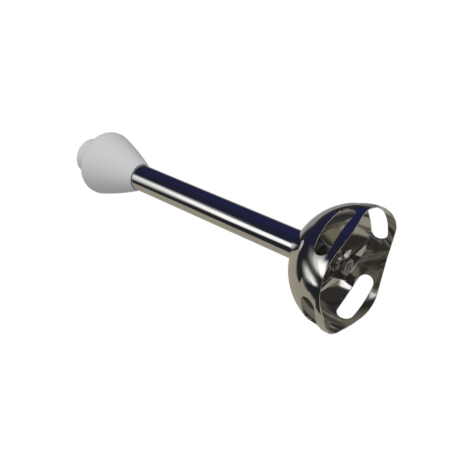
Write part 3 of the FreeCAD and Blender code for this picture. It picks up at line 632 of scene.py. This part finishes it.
def through_sheet(outer, inner, sizes, out, edge):
    """Rows of points through the sheet at a cut with rounded edges, from the outer face to
    the inner one. out is the way that the sheet faces at the cut, and edge gives a face's
    points at some distance from it."""
    sides = []
    for form, way in ((outer, -1.0), (inner, 1.0)):
        rows = []
        for turn in np.linspace(0.0, QUARTER, EDGE_STEPS + 1):
            grow, drop = 1 - math.sin(turn), 1 - math.cos(turn)
            rows.append(edge(form, grow * sizes.edge_round) + out * way * drop * sizes.edge_round)
        sides.append(rows)
    return np.array(sides[0] + sides[1][::-1])


def cap_profile(form, sizes):
    """Section (radius, height, slope) of a face from the cells' upper border to the neck."""
    neck = sizes.neck_radius - form.inset
    flare = sizes.neck_round + form.inset
    rise = math.sqrt((form.radius + flare) ** 2 - (neck + flare) ** 2)
    meet = math.atan2(rise, neck + flare)
    section = []
    for turn in np.linspace(CELL_TOP, meet, CAP_RINGS + 1):
        section.append((form.radius * math.cos(turn),
                        sizes.dome_centre + form.radius * math.sin(turn), turn))
    for turn in np.linspace(meet, 0.0, FLARE_RINGS + 1)[1:]:
        section.append((neck + flare - flare * math.cos(turn),
                        sizes.dome_centre + rise - flare * math.sin(turn), turn))
    section.append((neck, sizes.neck_height, 0.0))
    return section


def cap_rows(form, sizes):
    """Rows of points and of normals of the cap. Its first row is the cells' own border."""
    azimuth = np.linspace(0.0, FULL_TURN, 4 * ALONG_TOP, endpoint=False) - EIGHTH
    rows, normals = [], []
    for radius, height, slope in cap_profile(form, sizes):
        rows.append(np.stack([radius * np.cos(azimuth), radius * np.sin(azimuth),
                              np.full(azimuth.shape, height)], axis=-1))
        normals.append(np.stack([np.cos(azimuth) * math.cos(slope),
                                 np.sin(azimuth) * math.cos(slope),
                                 np.full(azimuth.shape, math.sin(slope))], axis=-1))
    rows[0] = form.at(azimuth, np.full(azimuth.shape, CELL_TOP))
    return np.array(rows), np.array(normals)


def make_bell(sizes):
    skin = Skin()
    quarters = [QUARTER * number for number in range(4)]
    outer, inner = BellForm(sizes, 0.0), BellForm(sizes, sizes.wall)
    for form, side in ((outer, 1.0), (inner, -1.0)):
        cell = bell_cell(form, sizes)
        normals = form.normal(cell) * side
        for heading in quarters:
            rows = skin.add(turned(cell, heading), turned(normals, heading))
            skin.grid(rows[::-1] if side > 0 else rows, closed=True, finish=int(side < 0))
        rows, normals = cap_rows(form, sizes)
        rows = skin.add(rows, normals * side)
        skin.grid(rows if side > 0 else rows[::-1], closed=True, finish=int(side < 0))
    wall = through_sheet(outer, inner, sizes, np.array([1.0, 0.0, 0.0]),
                         lambda form, grow: edge_of_window(form, sizes, grow))
    for heading in quarters:
        skin.grid(skin.add(turned(wall, heading)), closed=True)
    azimuth = np.linspace(-EIGHTH, EIGHTH, ALONG_TOP + 1)
    out = np.stack([np.cos(azimuth), np.sin(azimuth), 0 * azimuth], axis=-1)
    wall = through_sheet(outer, inner, sizes, out,
                         lambda form, lift: edge_of_rim(form, sizes, azimuth, lift))
    for heading in quarters:
        skin.grid(skin.add(turned(wall, heading))[::-1])
    top_rows = [cap_rows(form, sizes)[0][-1] for form in (outer, inner)]
    skin.grid(skin.add(np.array(top_rows)), closed=True)
    return skin


class FOOT_OT_bell(bpy.types.Operator):
    """Make the drawn steel bell with its flutes, windows and wavy rim"""
    bl_idname = "foot.bell"
    bl_label = "Bell"

    def execute(self, context):
        sizes = context.scene.foot.bell
        bell = make_bell(sizes).build("bell", bpy.data.materials["bright_steel"],
                                      bpy.data.materials["brushed_inside"])
        settle(bell, "guard", "bright_steel", "bell_guard")
        return {"FINISHED"}


# The blade.

# Pieces of each edge of a flat part, and rows round a short wing's bend.
EDGE_PIECES, BEND_ROWS = 6, 9
# The ground bevel's height as a share of its width, and how much wider a short wing's is.
GRIND_HEIGHT, TAB_GRIND = 0.7, 4
# Two edges that meet at less than this, as a sine, are taken as one straight line.
STRAIGHT = 0.05


def inset(outline, shares):
    """A closed outline moved inward; shares are the moves of its edges."""
    ahead = np.roll(outline, -1, axis=0) - outline
    inward = np.stack([-ahead[:, 1], ahead[:, 0]], axis=-1)
    inward /= np.linalg.norm(inward, axis=-1)[:, None]
    moved = []
    for index, point in enumerate(outline):
        sides = np.array([inward[index - 1], inward[index]])
        moves = np.array([shares[index - 1], shares[index]])
        if abs(np.linalg.det(sides)) < STRAIGHT:
            moved.append(point + sides[1] * moves.max())
        else:
            moved.append(point + np.linalg.solve(sides, moves))
    return np.array(moved)


def split_edges(outline, free):
    """An outline with each edge in several pieces, and whether each piece is free."""
    points, kinds = [], []
    for start, finish, kind in zip(outline, np.roll(outline, -1, axis=0), free):
        for step in range(EDGE_PIECES):
            points.append(start + (finish - start) * step / EDGE_PIECES)
            kinds.append(kind)
    return np.array(points), np.array(kinds, float)


def stamp(skin, sizes, outline, free, place, bore=0.0):
    """A flat part of the sheet: its lower edge is ground where an edge is free."""
    skin.apart()
    half, grind = sizes.sheet / 2, sizes.grind
    points, kinds = split_edges(np.array(outline, float), free)
    lower = inset(points, kinds * grind)

    def layer(ring, level):
        return skin.add(place(np.concatenate([ring, np.full((len(ring), 1), level)], axis=-1)))

    rows = [layer(points, half), layer(points, grind * GRIND_HEIGHT - half),
            layer(lower, -half)]
    skin.grid(rows[::-1], closed=True)
    if bore:
        heading = np.arctan2(points[:, 1], points[:, 0])
        hole = np.stack([bore * np.cos(heading), bore * np.sin(heading)], axis=-1)
        skin.grid([rows[0], layer(hole, half), layer(hole, -half), rows[2]], closed=True)
    else:
        skin.face(rows[0])
        skin.face(rows[2][::-1])


def folded(sizes, origin, along, bend, side):
    """A place for a part that bends about a line at the sheet's underside. The part is drawn
    with x out from the line and y along it; side is 1 or -1 for the two ends of the blade."""
    along = np.array(along) / np.linalg.norm(along)
    out = np.array([along[1], -along[0]])
    half = sizes.sheet / 2

    def place(points):
        reach_out, level = points[:, 0], points[:, 2] + half
        flat = reach_out * math.cos(bend) - level * math.sin(bend)
        rise = reach_out * math.sin(bend) + level * math.cos(bend) - half
        spot = (np.array(origin) + flat[:, None] * out + points[:, 1:2] * along) * side
        return seated(sizes, np.concatenate([spot, rise[:, None]], axis=-1))
    return place


def seated(sizes, points):
    """The blade's own points, turned and lifted to where the blade sits."""
    return turned(points, sizes.turn) + np.array([0.0, 0.0, sizes.height])


def add_tab(skin, sizes, side):
    """A short wing: it bends down round a small radius and has a ground end."""
    skin.apart()
    half, grind, wide = sizes.sheet / 2, sizes.grind, sizes.tab_fold / 2
    ring = [(wide, half), (-wide, half), (-wide, grind - half), (grind - wide, -half),
            (wide - grind, -half), (wide, grind - half)]
    runs = [(turn, 0.0) for turn in np.linspace(0.0, sizes.tab_drop, BEND_ROWS)]
    runs.append((sizes.tab_drop, sizes.tab_reach))
    rows = []
    for turn, straight in runs:
        row = []
        for across, level in ring:
            end = straight - TAB_GRIND * grind if straight and level == -half else straight
            from_bend = sizes.tab_round + half + level
            out = from_bend * math.sin(turn) + end * math.cos(turn)
            drop = from_bend * math.cos(turn) - end * math.sin(turn) - half - sizes.tab_round
            middle = sizes.near_corner - wide
            row.append(((middle + across) * side, (-sizes.half_depth - out) * side, drop))
        rows.append(skin.add(seated(sizes, np.array(row))))
    skin.grid(rows[::-1], closed=True)
    skin.face(rows[0][::-1])
    skin.face(rows[-1])


def make_blade(sizes):
    """The plate with its bore, and at each end a long wing, a pressed flank and a short wing."""
    skin = Skin()
    deep, near, far = sizes.half_depth, sizes.near_corner, sizes.far_corner
    beside_tab = near - sizes.tab_fold
    tip, flank, corner = np.array([
        (-far, -deep), (beside_tab, sizes.flank - deep), (beside_tab, -deep)])
    half_plate = np.array([tip, flank, corner, (near, -deep)])
    plate = np.concatenate([half_plate, -half_plate])
    stamp(skin, sizes, plate, [False, True, False, True] * 2,
          lambda points: seated(sizes, points), sizes.bore)

    slant = np.array([far - near, 2 * deep])
    fold_end = np.array([far, deep])
    fold_start = fold_end - slant / np.linalg.norm(slant) * sizes.wing_fold
    half_fold, half_tip = sizes.wing_fold / 2, sizes.wing_tip / 2
    wing = [(0.0, -half_fold), (sizes.wing_reach, sizes.wing_sweep - half_tip),
            (sizes.wing_reach, sizes.wing_sweep + half_tip), (0.0, half_fold)]

    line = flank - tip
    span = np.linalg.norm(line)
    along = (corner - tip) @ line / span
    away = abs(np.linalg.det([corner - tip, line])) / span
    for side in (1, -1):
        stamp(skin, sizes, wing, [True, True, True, False],
              folded(sizes, (fold_start + fold_end) / 2, slant, sizes.wing_lift, side))
        stamp(skin, sizes, [(0.0, 0.0), (away, along), (0.0, span)], [True, False, False],
              folded(sizes, tip, line, -sizes.flank_drop, side))
        add_tab(skin, sizes, side)
    return skin


class FOOT_OT_blade(bpy.types.Operator):
    """Make the four-wing blade with its folds and ground edges"""
    bl_idname = "foot.blade"
    bl_label = "Blade"

    def execute(self, context):
        blade = make_blade(context.scene.foot.blade).build(
            "cutting_blade", bpy.data.materials["blade_steel"], smooth=False)
        settle(blade, "rotor", "blade_steel", "blade")
        return {"FINISHED"}


# The collar.

# Rows up its cone, round its shoulder and round its lip, and points in a ring.
CONE_ROWS, SHOULDER_ROWS, LIP_ROWS, RING_POINTS = 40, 14, 8, 160


def arc_between(start, finish, radius, count):
    """Points and outward normals along an arc that swells to the right of start to finish."""
    start, finish = np.array(start), np.array(finish)
    chord = finish - start
    span = np.linalg.norm(chord)
    out = np.array([chord[1], -chord[0]]) / span
    centre = (start + finish) / 2 - out * math.sqrt(radius ** 2 - span ** 2 / 4)
    first = math.atan2(*(start - centre)[::-1])
    last = math.atan2(*(finish - centre)[::-1])
    turns = np.linspace(first, last, count)
    ways = np.stack([np.cos(turns), np.sin(turns)], axis=-1)
    return centre + ways * radius, ways


def make_collar(sizes):
    base, peak = bottom("collar_shell"), top("collar_shell")
    widest, shoulder = base + sizes.cone, peak - sizes.shoulder
    wall, lip = sizes.wall, sizes.lip
    edge, edge_ways = arc_between(
        (sizes.mouth - lip, base), (sizes.mouth, base + lip), lip, LIP_ROWS)
    cone, cone_ways = arc_between(
        (sizes.mouth, base + lip), (sizes.radius, widest), sizes.crown, CONE_ROWS)
    crest, crest_ways = arc_between(
        (sizes.radius, shoulder), (sizes.radius - sizes.shoulder, peak), sizes.shoulder,
        SHOULDER_ROWS)
    outside = np.concatenate([edge, cone, crest, [[sizes.hole, peak]]])
    ways = np.concatenate([edge_ways, cone_ways, crest_ways, [[0.0, 1.0]]])
    inside = np.array([
        (sizes.hole, peak - wall), (sizes.radius - sizes.shoulder, peak - wall),
        (sizes.radius - wall, shoulder), (sizes.radius - wall, widest),
        (sizes.mouth - lip, base + wall), (sizes.mouth - lip, base)])
    skin = Skin()
    turn = np.linspace(0.0, FULL_TURN, RING_POINTS, endpoint=False)

    def swept(section):
        return np.stack([section[:, :1] * np.cos(turn), section[:, :1] * np.sin(turn),
                         section[:, 1:] + 0 * turn], axis=-1)

    skin.grid(skin.add(swept(outside), swept(ways)), closed=True)
    skin.grid(skin.add(swept(np.concatenate([outside[-1:], inside]))), closed=True)
    return skin


class FOOT_OT_collar(bpy.types.Operator):
    """Make the moulded collar: a swelling cone, its shoulder and a rounded lip at the tube"""
    bl_idname = "foot.collar"
    bl_label = "Collar"

    def execute(self, context):
        collar = make_collar(context.scene.foot.collar).build(
            "collar", bpy.data.materials["white_plastic"])
        settle(collar, "guard", "white_plastic", "collar_shell")
        return {"FINISHED"}


class FOOT_OT_finishes(bpy.types.Operator):
    """Make every finish and give it to the pieces that carry it"""
    bl_idname = "foot.finishes"
    bl_label = "Finishes"

    def execute(self, context):
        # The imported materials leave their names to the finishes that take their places.
        for packed in list(bpy.data.materials):
            packed.name = "packed_" + packed.name
        shades = context.scene.foot.finish
        made = {finish.name: finish for finish in (
            polished_steel(tuple(shades.steel)),
            brushed_steel(tuple(shades.steel)),
            stamped_steel(tuple(shades.blade)),
            turned_steel(tuple(shades.turned)),
            sintered_bronze(tuple(shades.bronze)),
            moulded_plastic("white_plastic", tuple(shades.white), roughness=(0.38, 0.50),
                            grain=2600.0, relief=0.008 * MM),
            moulded_plastic("grey_plastic", tuple(shades.grey), roughness=(0.45, 0.57),
                            grain=1500.0, relief=0.01 * MM),
            moulded_plastic("dark_plastic", tuple(shades.dark), roughness=(0.30, 0.42),
                            grain=1500.0, relief=0.01 * MM),
            moulded_rubber(tuple(shades.rubber)),
        )}
        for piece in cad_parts.values():
            for place in piece.material_slots:
                place.material = made[place.material.name.removeprefix("packed_")]
        return {"FINISHED"}


# The stage.

# What the polished metal sees: soft cards that stand round the object in a dark room. Each
# has the azimuth and elevation of its middle as the camera sees them (0 is behind the
# camera, -90 at the picture's left, 180 beyond the object), its half width, half height and
# turn, all in degrees, the softness of its edge as a share of its size, and its colour.
# A later card stands in front of the ones before it.
STUDIO = (
    (0, 90, 42, 42, 0, 0.12, (0.016, 0.019, 0.066)),
    (-85, 42, 42, 24, 0, 0.15, (0.016, 0.018, 0.040)),
    (72, 48, 32, 15, 0, 0.20, (0.034, 0.031, 0.030)),
    (-110, -2, 26, 26, 0, 0.20, (0.018, 0.018, 0.024)),
    (-174, 23, 19, 12, 0, 0.22, (0.285, 0.285, 0.285)),
    (-178, 9, 12, 6, 0, 0.35, (0.42, 0.42, 0.42)),
    (0, -90, 23, 23, 0, 0.15, (0.33, 0.31, 0.25)),
    (-166, -6, 38, 16, 8, 0.08, (0.355, 0.33, 0.265)),
    (-158, -34, 46, 15, 0, 0.08, (0.355, 0.33, 0.265)),
    (-133, -30, 19, 19, 45, 0.08, (0.345, 0.32, 0.26)),
    (78, -60, 22, 11, 0, 0.35, (0.18, 0.165, 0.12)),
    (132, -62, 18, 12, 0, 0.25, (0.04, 0.04, 0.038)),
    (-84, -28, 14, 12, 0, 0.30, (0.018, 0.019, 0.025)),
    (-87, 8, 13, 14, 0, 0.70, (0.30, 0.31, 0.28)),
    (-79, 8, 10, 13, 0, 0.60, (0.75, 0.76, 0.72)),
    (-69, 3, 8, 11, 0, 0.50, (1.25, 1.25, 1.25)),
    (-8, -2, 7, 28, 0, 0.50, (0.15, 0.14, 0.11)),
    (10, 28, 13, 6, -25, 0.25, (1.3, 1.3, 1.3)),
    (42, 24, 18, 4, 0, 0.4, (0.20, 0.18, 0.12)),
    (126, -17, 24, 17, 0, 0.10, (0.46, 0.44, 0.37)),
    (128, -19, 9, 5.5, 0, 0.15, (0.016, 0.014, 0.016)),
)
STUDIO_DARK = (0.030, 0.026, 0.023)
# Light that has been thrown to and fro inside the bell has lost the cards' outlines.
STUDIO_DEEP = (0.31, 0.29, 0.235)
# What only light that meets the metal twice finds: the bell's dim upper inside and the
# bright gap under its rim.
STUDIO_GAP = (
    (80, 42, 62, 44, 0, 0.10, (0.050, 0.044, 0.042)),
    (68, -48, 17, 12, 0, 0.25, (1.25, 1.25, 1.25)),
)
# The glossy depths past which a ray has met the metal twice, and three times.
TWICE, THREE_TIMES = 1.5, 2.5
# The room's light on the object, and the background that the camera, metal and glass show.
ROOM_LIGHT = (0.46, 0.47, 0.49)
WHITE = (1.0, 1.0, 1.0)

SENSOR_WIDTH = 36.0
CLIP_START = 10.0 * MM
FLOOR_HALF = 1.2
LAMP_DISTANCE = 0.7
# Each lamp's way from the object along the picture's right and top and towards the camera,
# its width and its power in watts.
LAMPS = (
    ("key", (-0.20, 0.55, 0.80), 0.5, 2.6),
    ("sky", (-0.76, 0.34, -0.55), 0.5, 1.0),
)


def view_turn(stage):
    """The turn from the picture's axes (right, top, back to the camera) to the frame's."""
    right = Vector(stage.camera_right).normalized()
    back = right.cross(Vector(stage.camera_up)).normalized()
    return Matrix((right, back.cross(right), back)).transposed()


def painted_studio(tree, stage, shade, cards):
    """Cards in front of a shade as a colour by direction, fixed about the object."""
    direction = tree.node("ShaderNodeTexCoord", output="Generated")
    to_frame = view_turn(stage)
    for azimuth, elevation, half_width, half_height, turn, soft, card in cards:
        facing = (Matrix.Rotation(math.radians(azimuth), 3, "Y")
                  @ Matrix.Rotation(math.radians(-elevation), 3, "X")
                  @ Matrix.Rotation(math.radians(turn), 3, "Z"))
        across, rise, toward = (to_frame @ facing).transposed()
        across /= math.sin(math.radians(half_width))
        rise /= math.sin(math.radians(half_height))
        offset = tree.math("MAXIMUM", tree.math("ABSOLUTE", direction.dot(tuple(across))),
                           tree.math("ABSOLUTE", direction.dot(tuple(rise))))
        ahead = tree.math("GREATER_THAN", direction.dot(tuple(toward)), 0.0)
        shade = tree.mix(shade, card, (1 - offset.between(1 - soft, 1 + soft)) * ahead)
    return shade


class FOOT_OT_stage(bpy.types.Operator):
    """Set up the camera, the pale floor, the lamps and what the metal reflects"""
    bl_idname = "foot.stage"
    bl_label = "Stage"

    def execute(self, context):
        stage = context.scene.foot.stage
        self.add_camera(context, stage)
        self.add_world(context, stage)
        self.add_floor(stage)
        self.add_lamps(context, stage)
        context.scene.view_settings.view_transform = "Standard"
        return {"FINISHED"}

    def add_camera(self, context, stage):
        lens = bpy.data.cameras.new("camera")
        lens.sensor_width = SENSOR_WIDTH
        lens.lens = stage.focal_length
        lens.clip_start = CLIP_START
        camera = bpy.data.objects.new("camera", lens)
        camera.matrix_world = (Matrix.Translation(stage.camera_place)
                               @ view_turn(stage).to_4x4())
        context.scene.collection.objects.link(camera)
        context.scene.camera = camera

    def add_world(self, context, stage):
        world = bpy.data.worlds.new("studio")
        context.scene.world = world
        tree = Tree(world)
        ray = tree.tree.nodes.new("ShaderNodeLightPath")
        camera, mirrored, passed, bounces = (Wire(tree, ray.outputs[name]) for name in (
            "Is Camera Ray", "Is Glossy Ray", "Is Transmission Ray", "Glossy Depth"))
        shade = tree.mix(ROOM_LIGHT, WHITE, camera + mirrored + passed)
        room = painted_studio(tree, stage, STUDIO_DARK, STUDIO)
        room = tree.mix(room, painted_studio(tree, stage, room, STUDIO_GAP),
                        tree.math("GREATER_THAN", bounces, TWICE))
        room = tree.mix(room, STUDIO_DEEP, tree.math("GREATER_THAN", bounces, THREE_TIMES))
        shade = tree.mix(shade, room, mirrored)
        light = tree.node("ShaderNodeBackground", None, {"Color": shade, "Strength": 1.0})
        tree.node("ShaderNodeOutputWorld", None, {"Surface": light})

    def add_floor(self, stage):
        """A pale floor that shows from above and is clear from below."""
        skin = Skin()
        skin.grid(skin.add([[(across, along, 0.0) for across in (-FLOOR_HALF, FLOOR_HALF)]
                            for along in (-FLOOR_HALF, FLOOR_HALF)]))
        finish = bpy.data.materials.new("floor")
        tree = Tree(finish)
        below = tree.node("ShaderNodeNewGeometry", output="Backfacing")
        matt = tree.node("ShaderNodeBsdfPrincipled", None, {
            "Base Color": (*stage.floor, 1.0), "Roughness": 0.9, "Specular IOR Level": 0.1,
            "Emission Color": (*stage.floor, 1.0), "Emission Strength": stage.floor_glow})
        clear = tree.node("ShaderNodeBsdfTransparent")
        surface = tree.node("ShaderNodeMixShader", None, {0: below, 1: matt, 2: clear})
        tree.node("ShaderNodeOutputMaterial", None, {"Surface": surface})
        floor = skin.build("floor", finish)
        for ray in ("diffuse", "glossy", "transmission", "shadow"):
            setattr(floor, "visible_" + ray, False)

    def add_lamps(self, context, stage):
        middle = Vector((0.0, 0.0, (cad_box[0][2] + cad_box[1][2]) / 2))
        for name, offset, size, power in LAMPS:
            lamp = bpy.data.lights.new(name, "AREA")
            lamp.shape = "DISK"
            lamp.size = size
            lamp.energy = power
            place = bpy.data.objects.new(name, lamp)
            way = (view_turn(stage) @ Vector(offset)).normalized()
            place.location = middle + way * LAMP_DISTANCE
            place.rotation_euler = way.to_track_quat("Z", "Y").to_euler()
            place.visible_glossy = False
            context.scene.collection.objects.link(place)


class FOOT_PT_panel(bpy.types.Panel):
    """Lists the foot's pieces in the sidebar"""
    bl_idname = "FOOT_PT_panel"
    bl_label = "Blending foot"
    bl_space_type = "VIEW_3D"
    bl_region_type = "UI"
    bl_category = "Blending foot"

    def draw(self, context):
        for step in STEPS:
            self.layout.operator(step.bl_idname)
        foot = context.scene.foot
        for group in (foot.bell, foot.blade, foot.collar, foot.finish, foot.stage):
            box = self.layout.box()
            for name in group.bl_rna.properties.keys():
                if name not in ("rna_type", "name"):
                    box.prop(group, name)


SETTINGS = (BellSettings, BladeSettings, CollarSettings, FinishSettings, StageSettings,
            FootSettings)
STEPS = (FOOT_OT_finishes, FOOT_OT_bell, FOOT_OT_blade, FOOT_OT_collar, FOOT_OT_stage)


def register():
    for group in (*SETTINGS, *STEPS, FOOT_PT_panel):
        bpy.utils.register_class(group)
    bpy.types.Scene.foot = bpy.props.PointerProperty(type=FootSettings)


def unregister():
    del bpy.types.Scene.foot
    for group in reversed((*SETTINGS, *STEPS, FOOT_PT_panel)):
        bpy.utils.unregister_class(group)


def main():
    register()
    for step in STEPS:
        area, name = step.bl_idname.split(".")
        getattr(getattr(bpy.ops, area), name)()


if __name__ == "__main__":
    main()
